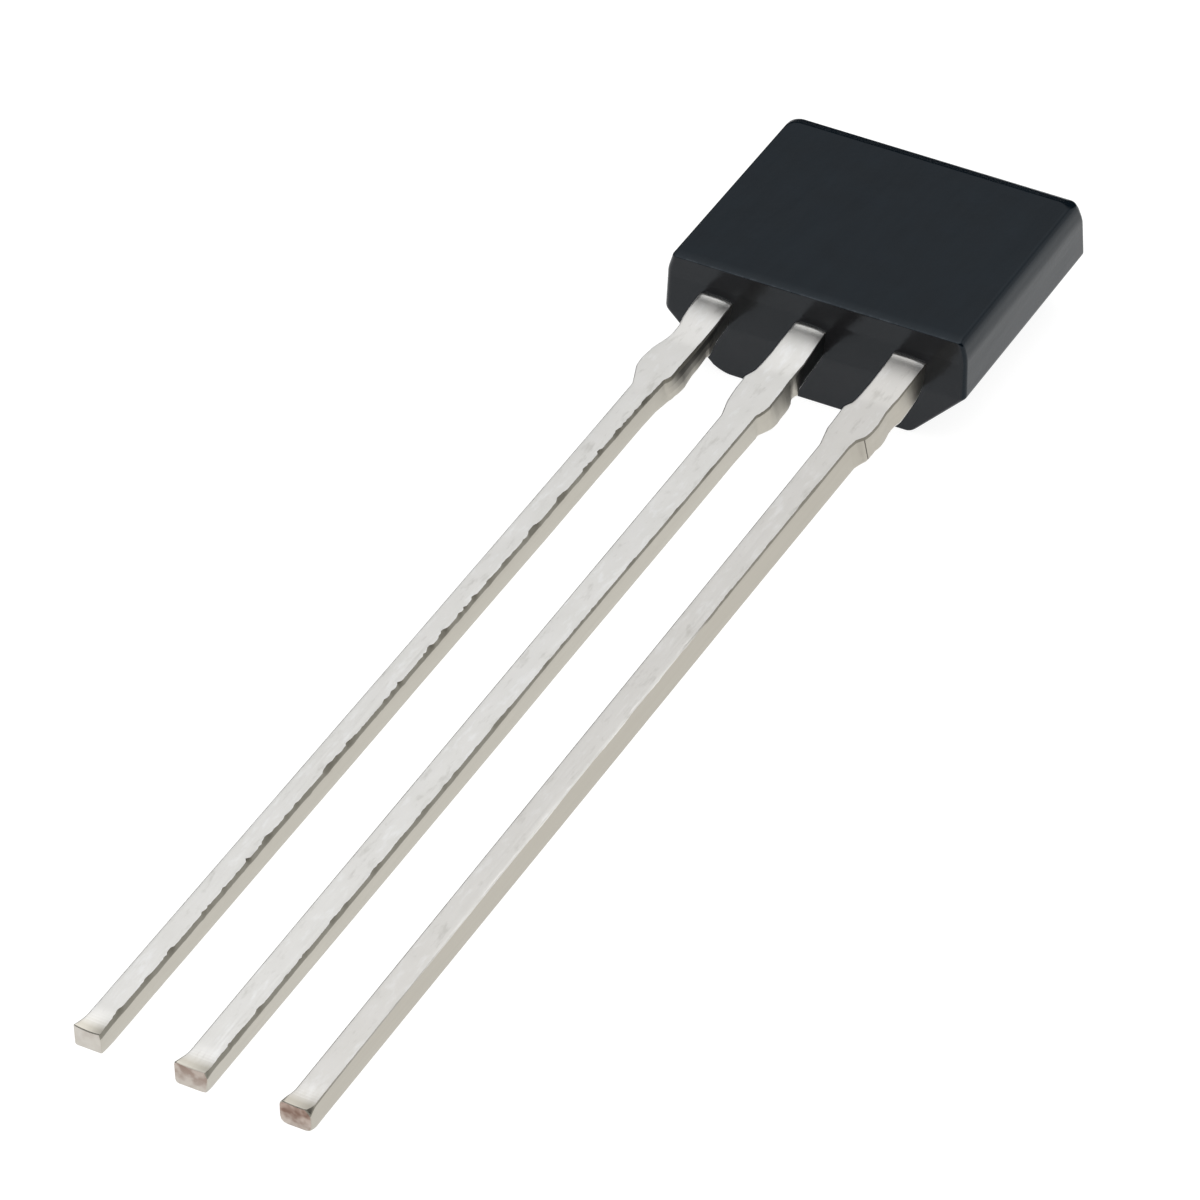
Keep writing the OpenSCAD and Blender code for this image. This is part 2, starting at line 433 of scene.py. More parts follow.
def lead_section(left, right, top_left, bottom_radius, strip, lift, droop, dip, inset, rise, bulge):
    """Points round a lead's section, seen from its tip, and the region each face after it is in.
    The strip is the torn edge's width, depth and roundness."""
    strip_width, strip_depth, roundness = strip
    low = sheet_bottom + inset + rise
    top = sheet_top - inset + lift
    r = bottom_radius
    bottom_right = arc((right + bulge - r, low + r), r, 270, 360, 3)
    points = arc((left + r, low + r), r, 180, 270, 3) + bottom_right
    regions = ["bottom"] * 7
    foot = top - strip_depth - droop
    for share in (1 / 3, 2 / 3, 1):
        points += [(right + bulge * (1 - share), low + r + (foot - low - r) * share)]
    regions += ["side"] * 3
    rim = right - strip_width
    for k in (1, 2):
        turn = math.radians(30 * k)
        flat = (rim + strip_width * (1 - k / 3), foot + strip_depth * k / 3)
        curved = (rim + strip_width * math.cos(turn), foot + strip_depth * math.sin(turn))
        points += [(f + (c - f) * roundness for f, c in zip(flat, curved))]
    regions += ["torn"] * 3
    inner = left + top_left
    for k in range(7):
        points += [(rim + (inner - rim) * k / 7, top - droop * (1 - k / 4) ** 2 * (k < 4))]
    regions += ["top"] * 7
    points += arc((inner, top - top_left), top_left, 90, 180, 4)
    regions += ["top"] * 4
    points += [(left, (low + top) / 2)]
    regions += ["side"] * 2
    # The blade pressed the top of the tip down, most a little to the right of its middle.
    middle = (left + right) / 2 + 0.03
    half = (right - left) / 2
    dipped = []
    for x, z in points:
        sag = dip * max(0.0, 1 - 0.6 * ((x - middle) / half) ** 2) * (z - low) / (top - low)
        dipped.append((x, z - sag))
    return dipped, regions


def worn_edge_tree():
    """Geometry Nodes that make a lead's torn edge wander sideways and drop in bites. The rim and
    foot attributes say how much of each a point takes, and the two numbers that multiply the
    seed only keep the two noises apart."""
    tree = bpy.data.node_groups.new("torn_punched_edge", "GeometryNodeTree")
    tree.interface.new_socket("Geometry", in_out="INPUT", socket_type="NodeSocketGeometry")
    for name in ("Seed", "Wander", "Drop", "Wavelength"):
        tree.interface.new_socket(name, in_out="INPUT", socket_type="NodeSocketFloat")
    tree.interface.new_socket("Material", in_out="INPUT", socket_type="NodeSocketMaterial")
    tree.interface.new_socket("Geometry", in_out="OUTPUT", socket_type="NodeSocketGeometry")
    given = add_node(tree, "NodeGroupInput").outputs
    place = add_node(tree, "GeometryNodeInputPosition").outputs["Position"]
    lengthwise = add_node(tree, "ShaderNodeSeparateXYZ", {"Vector": place}).outputs["Y"]
    waves = add_node(tree, "ShaderNodeMath", {
        0: lengthwise,
        1: given["Wavelength"],
    }, operation="DIVIDE").outputs[0]
    moves = {}
    ways = (("X", "Wander", "rim", 31.7), ("Z", "Drop", "foot", 57.3))
    for axis, amount, attribute, turn in ways:
        phase = add_node(tree, "ShaderNodeMath", {
            0: given["Seed"],
            1: turn,
            2: waves,
        }, operation="MULTIPLY_ADD").outputs[0]
        noise = add_node(tree, "ShaderNodeTexNoise", {
            "W": phase,
            "Scale": 1.0,
            "Detail": 4.0,
            "Roughness": 0.72,
        }, noise_dimensions="1D").outputs["Fac"]
        bite = add_node(tree, "ShaderNodeMapRange", {
            "Value": noise,
            "From Min": 0.46,
            "From Max": 0.68,
            "To Max": -1.0,
        }, interpolation_type="SMOOTHSTEP").outputs["Result"]
        share = add_node(tree, "GeometryNodeInputNamedAttribute", {"Name": attribute})
        scaled = add_node(tree, "ShaderNodeMath", {
            0: bite,
            1: given[amount],
        }, operation="MULTIPLY").outputs[0]
        moves[axis] = add_node(tree, "ShaderNodeMath", {
            0: scaled,
            1: share.outputs["Attribute"],
        }, operation="MULTIPLY").outputs[0]
    offset = add_node(tree, "ShaderNodeCombineXYZ", moves).outputs["Vector"]
    moved = add_node(tree, "GeometryNodeSetPosition", {
        "Geometry": given["Geometry"],
        "Offset": offset,
    })
    whole = add_node(tree, "GeometryNodeRealizeInstances", {"Geometry": moved.outputs["Geometry"]})
    plated = add_node(tree, "GeometryNodeSetMaterial", {
        "Geometry": whole.outputs["Geometry"],
        "Material": given["Material"],
    })
    add_node(tree, "NodeGroupOutput", {"Geometry": plated.outputs["Geometry"]})
    return tree


def settle(piece):
    """Turns a piece with live modifiers into a plain mesh."""
    evaluated = piece.evaluated_get(bpy.context.evaluated_depsgraph_get())
    mesh = bpy.data.meshes.new_from_object(evaluated)
    piece.modifiers.clear()
    piece.data = mesh


def run_tree(piece, tree, values):
    """Runs a Geometry Nodes tree on a piece with the given inputs and keeps the plain mesh."""
    modifier = piece.modifiers.new(tree.name, "NODES")
    modifier.node_group = tree
    for socket in tree.interface.items_tree:
        if socket.in_out == "INPUT" and socket.name in values:
            modifier[socket.identifier] = values[socket.name]
    settle(piece)


def tin_plated_copper():
    """Matt tin over copper: rolling marks run along the top, sheared sides are duller, and darker
    partly as painted shade, the torn edge is darker, partly as painted shade, and the cut tips are
    darker, down to the copper."""
    material, tree, output = new_material("matt_tin_on_stamped_copper")
    place = add_node(tree, "ShaderNodeTexCoord").outputs["Object"]
    # Rolling marks are 0.04 mm wide and 1.2 mm long, and the blotches in the tin 0.4 mm across.
    # Its grain is drawn 0.025 mm across, coarser than it is, so that it shows.
    stretched = add_node(tree, "ShaderNodeMapping", {"Vector": place, "Scale": (1, 0.03, 1)})
    rolling = add_node(tree, "ShaderNodeTexNoise", {
        "Vector": stretched.outputs["Vector"],
        "Scale": 28 / MM,
        "Detail": 3,
    }).outputs["Fac"]
    blotches = add_node(tree, "ShaderNodeTexNoise", {
        "Vector": place,
        "Scale": 2.6 / MM,
        "Detail": 3,
    }).outputs["Fac"]
    grain = add_node(tree, "ShaderNodeTexNoise", {
        "Vector": place,
        "Scale": 40 / MM,
        "Detail": 2,
    }).outputs["Fac"]
    # Each face of a lead says how far it is sheared, torn, bare or dull, and how much painted shade
    # lies on it; the sheared and torn marks are partly painted shade too.
    region = {}
    for name in ("sheared_and_shaded", "torn", "bare", "dull", "painted_shade"):
        region[name] = add_node(tree, "ShaderNodeAttribute", attribute_name=name).outputs["Fac"]
    # Where a tip was cut, the tin is smeared over the copper in patches 0.15 mm across.
    smears = add_node(tree, "ShaderNodeTexNoise", {
        "Vector": place,
        "Scale": 6 / MM,
        "Detail": 2,
    }).outputs["Fac"]
    patches = add_node(tree, "ShaderNodeMapRange", {
        "Value": smears,
        "From Min": 0.42,
        "From Max": 0.6,
    }).outputs["Result"]
    bare = add_node(tree, "ShaderNodeMath", {
        0: region["bare"],
        1: patches,
    }, operation="MULTIPLY").outputs[0]
    colour = add_node(tree, "ShaderNodeMix", {
        "Factor": blotches,
        "A": linear("#EFEEEA"),
        "B": linear("#F9F8F6"),
    }, data_type="RGBA").outputs["Result"]
    # Handling has rubbed and scuffed the tin in streaks 0.1 mm wide and 0.4 mm long.
    flow = add_node(tree, "ShaderNodeMapping", {"Vector": place, "Scale": (1, 0.3, 1)})
    streaks = add_node(tree, "ShaderNodeTexNoise", {
        "Vector": flow.outputs["Vector"],
        "Scale": 9 / MM,
        "Detail": 4,
        "Roughness": 0.6,
    }).outputs["Fac"]
    rubbed = add_node(tree, "ShaderNodeMapRange", {
        "Value": streaks,
        "From Min": 0.55,
        "From Max": 0.7,
        "To Max": 0.9,
    }).outputs["Result"]
    scuffed = add_node(tree, "ShaderNodeMapRange", {
        "Value": streaks,
        "From Min": 0.42,
        "From Max": 0.28,
        "To Max": 0.35,
    }).outputs["Result"]
    # From the tin up: rubbed bright, scuffed, sheared and torn metal, both darker partly as painted
    # shade, copper with a little tin on it, bare copper, and a dark layer of painted shade.
    layers = [
        (rubbed, "#FEFEFD"),
        (scuffed, "#C2C0B9"),
        (region["sheared_and_shaded"], "#C0BCB2"),
        (region["torn"], "#8F8C82"),
        (region["bare"], "#B09D92"),
        (bare, "#7F6558"),
        (region["painted_shade"], "#34302D"),
    ]
    for factor, shade in layers:
        colour = add_node(tree, "ShaderNodeMix", {
            "Factor": factor,
            "A": colour,
            "B": linear(shade),
        }, data_type="RGBA").outputs["Result"]
    colour = add_node(tree, "ShaderNodeMix", {
        "Factor": region["dull"],
        "A": colour,
        "B": linear("#F6F5F4"),
    }, data_type="RGBA", blend_type="MULTIPLY").outputs["Result"]
    roughness = add_node(tree, "ShaderNodeMapRange", {
        "Value": rolling,
        "From Min": 0.3,
        "From Max": 0.7,
        "To Min": 0.42,
        "To Max": 0.48,
    }).outputs["Result"]
    for name, shift in (("sheared_and_shaded", -0.04), ("torn", 0.02), ("painted_shade", -0.1)):
        roughness = add_node(tree, "ShaderNodeMath", {
            0: region[name],
            1: shift,
            2: roughness,
        }, operation="MULTIPLY_ADD").outputs[0]
    # The rolling marks are deeper near the torn edge, where the punch dragged the metal.
    depth = add_node(tree, "ShaderNodeMath", {
        0: add_node(tree, "ShaderNodeAttribute", attribute_name="rim").outputs["Fac"],
        1: 2.5,
        2: 0.5,
    }, operation="MULTIPLY_ADD").outputs[0]
    ridges = add_node(tree, "ShaderNodeMath", {
        0: rolling,
        1: depth,
    }, operation="MULTIPLY").outputs[0]
    marks = add_node(tree, "ShaderNodeBump", {
        "Height": ridges,
        "Strength": 0.5,
        "Distance": 0.002 * MM,
    })
    texture = add_node(tree, "ShaderNodeBump", {
        "Height": grain,
        "Strength": 0.2,
        "Distance": 0.001 * MM,
        "Normal": marks.outputs["Normal"],
    })
    shader = add_node(tree, "ShaderNodeBsdfPrincipled", {
        "Base Color": colour,
        "Metallic": 1.0,
        "Roughness": roughness,
        "Normal": texture.outputs["Normal"],
    })
    tree.links.new(shader.outputs["BSDF"], output.inputs["Surface"])
    return material


plating = tin_plated_copper()
torn_edge = worn_edge_tree()

# How far each change of a lead's shape reaches from the body, and from the sheared tip.
lift_reach, lip_reach, droop_reach, rounding_reach = 0.9, 0.09, 0.3, 0.35
flare_reach, cut_reach, dip_reach, rise_reach, smear_reach = 0.25, 0.12, 0.4, 0.3, 0.35
lip_height = 0.014
top_radius = 0.02


def make_lead(node, left, right, softness, strip, wear, bulge, cuts, dull, painted_shade, neck, tip, torn):
    """One lead, in rings of points from its inner end to its tip. Each row of left, right, strip,
    wear, bulge and painted_shade starts with a distance from the body, and then gives, in turn:
    half the width on that side; the torn edge's width, depth, roundness and darkness, the darkness
    partly painted shade; how worn that edge is; how far the foot of the right side stands out; and
    how dark the painted shade on the right side is, low down and high up. Softness rounds the
    corners of left and right, cuts are lines across the side, and torn holds the torn edge's
    inputs."""
    low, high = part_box(node)
    middle = (low.x + high.x) / 2 / MM
    pad_half = (high.x - low.x) / 2 / MM
    inner_length = high.y / MM - exit_y
    root = [
        (-inner_length, pad_half),
        (-root_depth - 0.001, pad_half),
        (-root_depth + 0.001, neck_width / 2),
    ]
    blank = bmesh.new()
    layers = {}
    for name in ("rim", "foot"):
        layers[name] = blank.verts.layers.float.new(name)
    marks = {}
    for name in ("sheared_and_shaded", "torn", "bare", "dull", "painted_shade"):
        marks[name] = blank.faces.layers.float.new(name)
    rings = []
    for at in sorted(ring_distances(inner_length, cuts)):
        to_tip = lead_length - at
        inset = pinch(to_tip, tip["bevel"])
        flare = tip["flare"] * fade(to_tip, flare_reach)
        cut = tip["cut"] * fade(to_tip, cut_reach)
        half_left = outline(root + left, softness, at) + flare - inset
        half_right = outline(root + right, softness, at) - inset
        width, depth, roundness, torn_tone_and_shade = (along(strip, at, column) for column in (1, 2, 3, 4))
        section, regions = lead_section(
            left=-half_left,
            right=half_right,
            top_left=top_radius + cut + neck["rounding"] * fade(at, rounding_reach),
            bottom_radius=corner_radius + cut,
            strip=(width + cut, depth + cut, roundness),
            lift=neck["lift"] * fade(at, lift_reach) ** 0.6 + lip_height * fade(at, lip_reach),
            droop=neck["droop"] * fade(at, droop_reach),
            dip=tip["dip"] * fade(to_tip, dip_reach),
            inset=inset,
            rise=tip["rise"] * fade(to_tip, rise_reach),
            bulge=along(bulge, at, 1),
        )
        ring = []
        for x, z in section:
            ring.append(blank.verts.new(Vector((middle + x, exit_y - at, z)) * MM))
        worn = along(wear, at, 1) * (1 - fade(to_tip, flare_reach))
        for k in range(7):
            ring[first_top + k][layers["rim"]] = worn * (1 - k / 7)
        for k in range(3):
            ring[first_side + k][layers["foot"]] = worn * (k + 1) / 3
        for k in range(2):
            ring[first_torn + k][layers["rim"]] = worn * (k + 1) / 3
            ring[first_torn + k][layers["foot"]] = worn * (1 - (k + 1) / 3)
        rings.append((at, ring, torn_tone_and_shade))
    for (at, ring, torn_tone_and_shade), (end, following, _) in zip(rings, rings[1:]):
        cut_line = any(at < cut_at < end for cut_at in cuts)
        for k in range(len(ring)):
            face = blank.faces.new([ring[k - 1], ring[k], following[k], following[k - 1]])
            region = regions[k - 1]
            smeared_and_shaded = min(1.0, 1.6 * fade(lead_length - at, smear_reach))
            # Sheared sides and the smeared tip are darker partly as painted shade.
            face[marks["sheared_and_shaded"]] = max(region == "side", smeared_and_shaded)
            # The torn strip's darker colour is partly painted shade along the edge.
            face[marks["torn"]] = torn_tone_and_shade * (region == "torn")
            face[marks["dull"]] = dull
            low_shade, high_shade = (along(painted_shade, max(0, at), column) for column in (1, 2))
            up_side = (k - first_side) / 2
            on_side = first_side <= k < first_torn
            shade_here = (low_shade + (high_shade - low_shade) * up_side) * on_side
            # The dark layer is painted shade: on the right side near the body, and along each cut
            # line.
            face[marks["painted_shade"]] = max(shade_here, 0.8 * cut_line * (region == "side"))

    inner_end = blank.faces.new(rings[0][1])
    inner_end[marks["sheared_and_shaded"]] = 1

    # The sheared end, in rings round its middle: copper shows there, and it is darker towards its
    # top, as painted shade.
    tip_ring = rings[-1][1]
    centre = sum((vert.co for vert in tip_ring), Vector()) / len(tip_ring)
    outer = tip_ring
    for share in (0.85, 0.65, 0.4, 0.15):
        inner = [blank.verts.new(centre.lerp(vert.co, share)) for vert in tip_ring]
        for k in range(len(outer)):
            face = blank.faces.new([outer[k - 1], outer[k], inner[k], inner[k - 1]])
            face[marks["sheared_and_shaded"]] = 0.7
            height = (face.calc_center_median().z / MM - sheet_bottom) / (sheet_top - sheet_bottom)
            face[marks["bare"]] = tip["bare"] * (0.45 + 0.75 * height)
        outer = inner
    cap = blank.faces.new(outer)
    cap[marks["sheared_and_shaded"]] = 0.7
    cap[marks["bare"]] = tip["bare"] * 0.85
    bmesh.ops.recalc_face_normals(blank, faces=blank.faces)
    lead = new_piece(node + "_plated", blank)
    shade_smooth(lead.data, 180)
    run_tree(lead, torn_edge, {**torn, "Material": plating})
    keep_faces_flat(lead.data, 45)
    finish_piece(lead, "tin_plated_copper", node)


# Output lead: notched on the left of its neck, with the deepest torn edge and a clean tip.
make_lead(
    "output_lead",
    left=[
        (0, 0.264), (0.1, 0.254), (0.2, 0.24), (0.32, 0.23), (0.45, 0.215), (0.6, 0.187),
        (0.78, 0.187), (0.89, 0.206), (0.99, 0.235), (1.11, 0.268), (1.25, 0.284), (1.33, 0.292),
        (1.4, 0.288), (1.5, 0.277), (1.82, 0.157), (3, 0.15), (7.5, 0.14),
    ],
    right=[
        (0, 0.19), (0.1, 0.198), (0.2, 0.205), (0.32, 0.212), (0.45, 0.215), (0.9, 0.21),
        (1.2, 0.205), (1.51, 0.207), (1.56, 0.188), (1.61, 0.16), (1.8, 0.154), (2.2, 0.142),
        (3.2, 0.137), (4.5, 0.142), (6, 0.138), (7.5, 0.135), (9, 0.14), (11, 0.143),
        (12.5, 0.149), (14.2, 0.15),
    ],
    softness=0.012,
    strip=[
        (0, 0.004, 0.01, 0, 0.4), (1, 0.012, 0.055, 0, 1), (5, 0.012, 0.06, 0, 1),
        (14, 0.014, 0.07, 0, 1),
    ],
    wear=[(0, 0), (1, 0.1), (2.5, 0.7), (7, 1), (11, 1), (13, 0.6), (14, 0.5)],
    bulge=[
        (0, -0.045), (0.35, -0.045), (0.6, 0.01), (0.65, -0.01), (0.9, 0.01), (1.04, 0.012),
        (1.15, 0.025), (1.28, 0.042), (1.41, 0.034), (1.5, 0.014), (1.57, 0.032), (1.62, 0.04),
        (1.71, 0.03), (1.85, 0.013), (3, 0.022), (5, 0.019), (8, 0.019), (11, 0.01), (13, 0.002),
    ],
    cuts=[],
    dull=0.0,
    painted_shade=[
        (0, 0.4, 0.4), (0.3, 0.4, 0.7), (0.45, 0.1, 0.75), (1.3, 0.1, 0.75), (1.5, 0, 0.3),
        (1.6, 0, 0),
    ],
    neck={"lift": 0.04, "droop": 0.04, "rounding": 0.07},
    tip={"bevel": 0.012, "flare": 0.055, "dip": 0.035, "rise": 0.03, "cut": 0.0, "bare": 0.15},
    torn={"Seed": 1.0, "Wander": 0.04 * MM, "Drop": 0.012 * MM, "Wavelength": 0.35 * MM},
)

# Ground lead: the side of its neck is darkened with painted shade, and copper shows at its tip.
make_lead(
    "ground_lead",
    left=[
        (0, 0.249), (0.2, 0.246), (0.6, 0.241), (0.8, 0.249), (0.95, 0.262), (1.02, 0.285),
        (1.08, 0.31), (1.12, 0.322), (1.18, 0.311), (1.36, 0.308), (1.48, 0.298), (1.61, 0.285),
        (1.88, 0.22), (3, 0.21), (6, 0.195), (14.2, 0.15),
    ],
    right=[
        (0, 0.159), (0.13, 0.172), (0.36, 0.192), (0.6, 0.208), (0.7, 0.203), (0.94, 0.2),
        (1.07, 0.205), (1.2, 0.212), (1.5, 0.218), (1.58, 0.205), (1.66, 0.185), (1.72, 0.158),
        (2.3, 0.158), (3.5, 0.156), (5, 0.147), (6.5, 0.147), (7.5, 0.152), (9, 0.162),
        (11, 0.171), (14.2, 0.192),
    ],
    softness=0.008,
    strip=[
        (0, 0.003, 0.01, 0, 0.5), (1.5, 0.008, 0.04, 0, 1), (7, 0.008, 0.045, 0, 1),
        (8, 0.012, 0.065, 0, 1),
    ],
    wear=[(0, 0), (1, 0.2), (3, 0.4), (9, 0.6), (14, 1)],
    bulge=[
        (0, -0.02), (0.5, -0.035), (0.7, -0.015), (0.82, 0.03), (0.86, 0.003), (0.92, -0.005),
        (1.0, 0.03), (1.1, 0.045), (1.3, 0.042), (1.4, 0.048), (1.52, 0.035), (1.6, 0.015),
        (1.69, -0.005), (1.75, 0.012), (2.3, 0.002), (5, 0.016), (7.5, 0.016), (9, 0.008),
        (11, 0), (14.2, -0.022),
    ],
    cuts=[],
    dull=0.0,
    painted_shade=[(0, 1, 1), (0.65, 1, 1), (0.8, 0, 0.2), (1.1, 0, 0)],
    neck={"lift": 0.04, "droop": 0.03, "rounding": 0.03},
    tip={"bevel": 0.008, "flare": 0.075, "dip": 0.024, "rise": 0.01, "cut": 0.02, "bare": 0.6},
    torn={"Seed": 2.0, "Wander": 0.022 * MM, "Drop": 0.01 * MM, "Wavelength": 0.45 * MM},
)

# Supply lead: the tie bar's cut left a line across its side, darkened with painted shade, its
# edge is rounded halfway along, and its tip is ragged and mostly bare copper.
make_lead(
    "supply_lead",
    left=[
        (0, 0.217), (0.35, 0.215), (0.6, 0.216), (0.82, 0.225), (0.92, 0.232), (1.0, 0.245),
        (1.04, 0.27), (1.1, 0.298), (1.18, 0.295), (1.39, 0.286), (1.53, 0.285), (1.85, 0.222),
        (4.6, 0.2), (7.5, 0.18), (14.2, 0.132),
    ],
    right=[
        (0, 0.21), (0.2, 0.217), (0.35, 0.219), (0.7, 0.215), (0.78, 0.206), (0.98, 0.2),
        (1.11, 0.215), (1.22, 0.226), (1.32, 0.224), (1.42, 0.218), (1.5, 0.2), (1.55, 0.17),
        (1.6, 0.135), (1.74, 0.111), (4, 0.111), (5, 0.115), (8, 0.13), (12, 0.16), (14.2, 0.176),
    ],
    softness=0.006,
    strip=[
        (0, 0.005, 0.02, 0, 1), (0.9, 0.008, 0.04, 0, 1), (2.5, 0.008, 0.036, 0, 1),
        (4, 0.008, 0.032, 0, 1), (5.2, 0.007, 0.026, 0, 1), (5.9, 0.012, 0.012, 1, 0),
        (11, 0.012, 0.012, 1, 0), (12, 0.004, 0.014, 0.3, 0.6), (14.2, 0.006, 0.03, 0, 1),
    ],
    wear=[(0, 0), (2, 0.2), (5, 1), (9, 1), (12, 0.2), (14, 0.2)],
    bulge=[
        (0, -0.025), (0.23, 0.012), (0.48, 0.03), (0.73, 0.044), (0.82, 0.03), (0.9, 0.026),
        (1.02, 0.034), (1.13, 0.038), (1.27, 0.03), (1.34, 0.018), (1.45, 0.028), (1.52, 0.048),
        (1.56, 0.07), (1.6, 0.08), (1.68, 0.065), (1.74, 0.06), (4, 0.055), (8, 0.04),
        (12, 0.015), (14.2, 0.004),
    ],
    cuts=[1.52],
    dull=1.0,
    painted_shade=[(0, 0.15, 0.15), (0.3, 0.05, 0.05), (0.5, 0, 0)],
    neck={"lift": 0.035, "droop": 0.03, "rounding": 0.0},
    tip={"bevel": 0.008, "flare": 0.08, "dip": 0.024, "rise": 0.0, "cut": 0.055, "bare": 1.0},
    torn={"Seed": 3.0, "Wander": 0.02 * MM, "Drop": 0.015 * MM, "Wavelength": 0.8 * MM},
)


# Hall chip: a silicon die, polished and covered with its metal tracks and bond pads on the front,
# sawn from the wafer on its four sides and ground on the back.
def silicon_die():
    """Silicon with aluminium tracks on the front, in a grid, and saw marks on the sides. The
    tracks are drawn 0.03 mm apart and the saw marks 0.04 mm, coarser than they are, to show."""
    material, tree, output = new_material("sawn_silicon_with_tracks")
    place = add_node(tree, "ShaderNodeTexCoord").outputs["Object"]
    facing = add_node(tree, "ShaderNodeSeparateXYZ", {
        "Vector": add_node(tree, "ShaderNodeNewGeometry").outputs["Normal"],
    }).outputs["Z"]
    front = add_node(tree, "ShaderNodeMath", {0: facing, 1: -0.5}, operation="LESS_THAN").outputs[0]
    cells = add_node(tree, "ShaderNodeTexBrick", {
        "Vector": place,
        "Color1": linear("#3B3F4C"),
        "Color2": linear("#4A4656"),
        "Mortar": linear("#C9C9C6"),
        "Scale": 9 / MM,
        "Mortar Size": 0.035,
        "Mortar Smooth": 0.1,
    })
    tracks = add_node(tree, "ShaderNodeMath", {
        0: cells.outputs["Fac"],
        1: front,
    }, operation="MULTIPLY").outputs[0]
    sawn = add_node(tree, "ShaderNodeMapping", {"Vector": place, "Scale": (1, 1, 8)})
    saw_marks = add_node(tree, "ShaderNodeTexNoise", {
        "Vector": sawn.outputs["Vector"],
        "Scale": 25 / MM,
        "Detail": 3,
    }).outputs["Fac"]
    bare = add_node(tree, "ShaderNodeMix", {
        "Factor": saw_marks,
        "A": linear("#4E5157"),
        "B": linear("#63666B"),
    }, data_type="RGBA").outputs["Result"]
    colour = add_node(tree, "ShaderNodeMix", {
        "Factor": front,
        "A": bare,
        "B": cells.outputs["Color"],
    }, data_type="RGBA").outputs["Result"]
    roughness = add_node(tree, "ShaderNodeMapRange", {
        "Value": front,
        "To Min": 0.45,
        "To Max": 0.12,
    }).outputs["Result"]
    height = add_node(tree, "ShaderNodeMix", {
        "Factor": front,
        "A": saw_marks,
        "B": tracks,
    }, data_type="FLOAT").outputs["Result"]
    bump = add_node(tree, "ShaderNodeBump", {
        "Height": height,
        "Strength": 0.4,
        "Distance": 0.001 * MM,
    })
    shader = add_node(tree, "ShaderNodeBsdfPrincipled", {
        "Base Color": colour,
        "Metallic": 0.9,
        "Roughness": roughness,
        "Normal": bump.outputs["Normal"],
    })
    tree.links.new(shader.outputs["BSDF"], output.inputs["Surface"])
    return material


chip = bpy.data.objects["hall_chip"]
chip.data.materials.clear()
chip.data.materials.append(silicon_die())


# Chip adhesive: epoxy paste filled with silver flakes, squeezed out into a thin even layer between
# the chip and the middle lead's paddle, and cured.
def silver_paste():
    """Grey epoxy full of silver flakes, 0.008 mm across, that catch the light one by one."""
    material, tree, output = new_material("cured_silver_filled_epoxy")
    place = add_node(tree, "ShaderNodeTexCoord").outputs["Object"]
    flakes = add_node(tree, "ShaderNodeTexVoronoi", {"Vector": place, "Scale": 120 / MM})
    shine = add_node(tree, "ShaderNodeSeparateColor", {"Color": flakes.outputs["Color"]}).outputs[0]
    colour = add_node(tree, "ShaderNodeMix", {
        "Factor": shine,
        "A": linear("#8B8A86"),
        "B": linear("#D5D4CF"),
    }, data_type="RGBA").outputs["Result"]
    roughness = add_node(tree, "ShaderNodeMapRange", {
        "Value": shine,
        "To Min": 0.6,
        "To Max": 0.3,
    }).outputs["Result"]
    bump = add_node(tree, "ShaderNodeBump", {
        "Height": flakes.outputs["Distance"],
        "Strength": 0.5,
        "Distance": 0.001 * MM,
    })
    shader = add_node(tree, "ShaderNodeBsdfPrincipled", {
        "Base Color": colour,
        "Metallic": 0.7,
        "Roughness": roughness,
        "Normal": bump.outputs["Normal"],
    })
    tree.links.new(shader.outputs["BSDF"], output.inputs["Surface"])
    return material


adhesive = bpy.data.objects["chip_adhesive"]
adhesive.data.materials.clear()
adhesive.data.materials.append(silver_paste())


# Bond wires: three gold wires, each welded as a flattened ball to a pad on the chip's front, led
# over in a loop and pressed down as a stitch on the root of its lead.
wire_radius = 0.015 * MM
ball_radius = 0.04 * MM
ball_flatness = 0.25
loop_height = 0.16 * MM
stitch_length = 0.07 * MM
stitch_width = 0.05 * MM
stitch_thickness = 0.012 * MM
chip_front_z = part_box("hall_chip")[0].z


def drawn_gold():
    """Soft gold wire, faintly marked by the drawing die. The marks are drawn 0.01 mm across,
    coarser than they are, to show."""
    material, tree, output = new_material("drawn_gold_wire")
    place = add_node(tree, "ShaderNodeTexCoord").outputs["Object"]
    die_marks = add_node(tree, "ShaderNodeTexNoise", {
        "Vector": place,
        "Scale": 90 / MM,
        "Detail": 2,
    }).outputs["Fac"]
    colour = add_node(tree, "ShaderNodeMix", {
        "Factor": die_marks,
        "A": linear("#F5D484"),
        "B": linear("#FFE3A0"),
    }, data_type="RGBA").outputs["Result"]
    roughness = add_node(tree, "ShaderNodeMapRange", {
        "Value": die_marks,
        "To Min": 0.18,
        "To Max": 0.32,
    }).outputs["Result"]
    bump = add_node(tree, "ShaderNodeBump", {
        "Height": die_marks,
        "Strength": 0.2,
        "Distance": 0.0005 * MM,
    })
    shader = add_node(tree, "ShaderNodeBsdfPrincipled", {
        "Base Color": colour,
        "Metallic": 1.0,
        "Roughness": roughness,
        "Normal": bump.outputs["Normal"],
    })
    tree.links.new(shader.outputs["BSDF"], output.inputs["Surface"])
    return material


